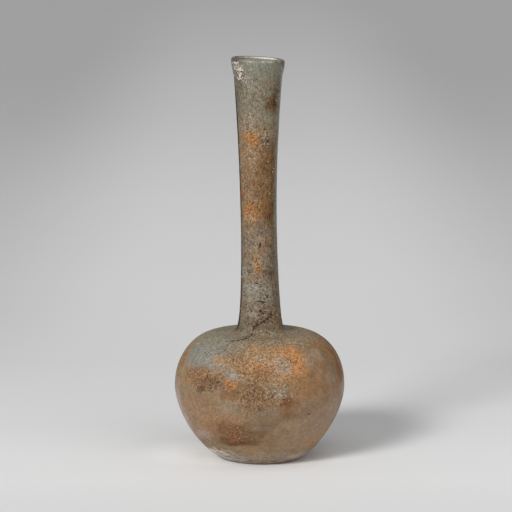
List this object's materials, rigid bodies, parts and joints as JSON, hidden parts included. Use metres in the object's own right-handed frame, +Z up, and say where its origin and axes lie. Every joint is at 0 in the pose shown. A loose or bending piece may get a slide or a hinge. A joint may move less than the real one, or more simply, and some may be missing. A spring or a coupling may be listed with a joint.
{
  "type": "long-necked glass flask",
  "caption": "Free-blown glass flask with a squat round body, a pushed-in base and a long neck that flares to a rounded lip, weathered with soil film and crusts.",
  "frame": {"origin": "on the table under the widest part of the body, level with the flat foot ring", "axes": "+Z up along the neck; -Y is the front; +X is to the right of someone who looks at the front"},
  "size_m": [0.0808, 0.0808, 0.1911],
  "materials": {
    "glass": "weathered translucent grey-green glass, satin",
    "soil_film": "smooth dried soil film, matt",
    "iron_crust": "granular orange crust, matt",
    "dark_crust": "granular dark brown crust, matt",
    "lime_crust": "flaky off-white crust, matt"
  },
  "bodies": {
    "root": {"glass_vessel": "glass", "body_soil_film": "soil_film", "neck_soil_film": "soil_film", "rim_lime_crust": "lime_crust", "upper_neck_crust": "iron_crust", "pitted_neck_crust": "lime_crust", "middle_neck_crust": "iron_crust", "lower_neck_crust": "iron_crust", "front_shoulder_crust": "iron_crust", "right_shoulder_crust": "iron_crust", "left_body_crust": "dark_crust", "left_edge_crust": "iron_crust", "belly_lime_crust": "lime_crust", "belly_rust_spot": "iron_crust"}
  },
  "joints": []
}
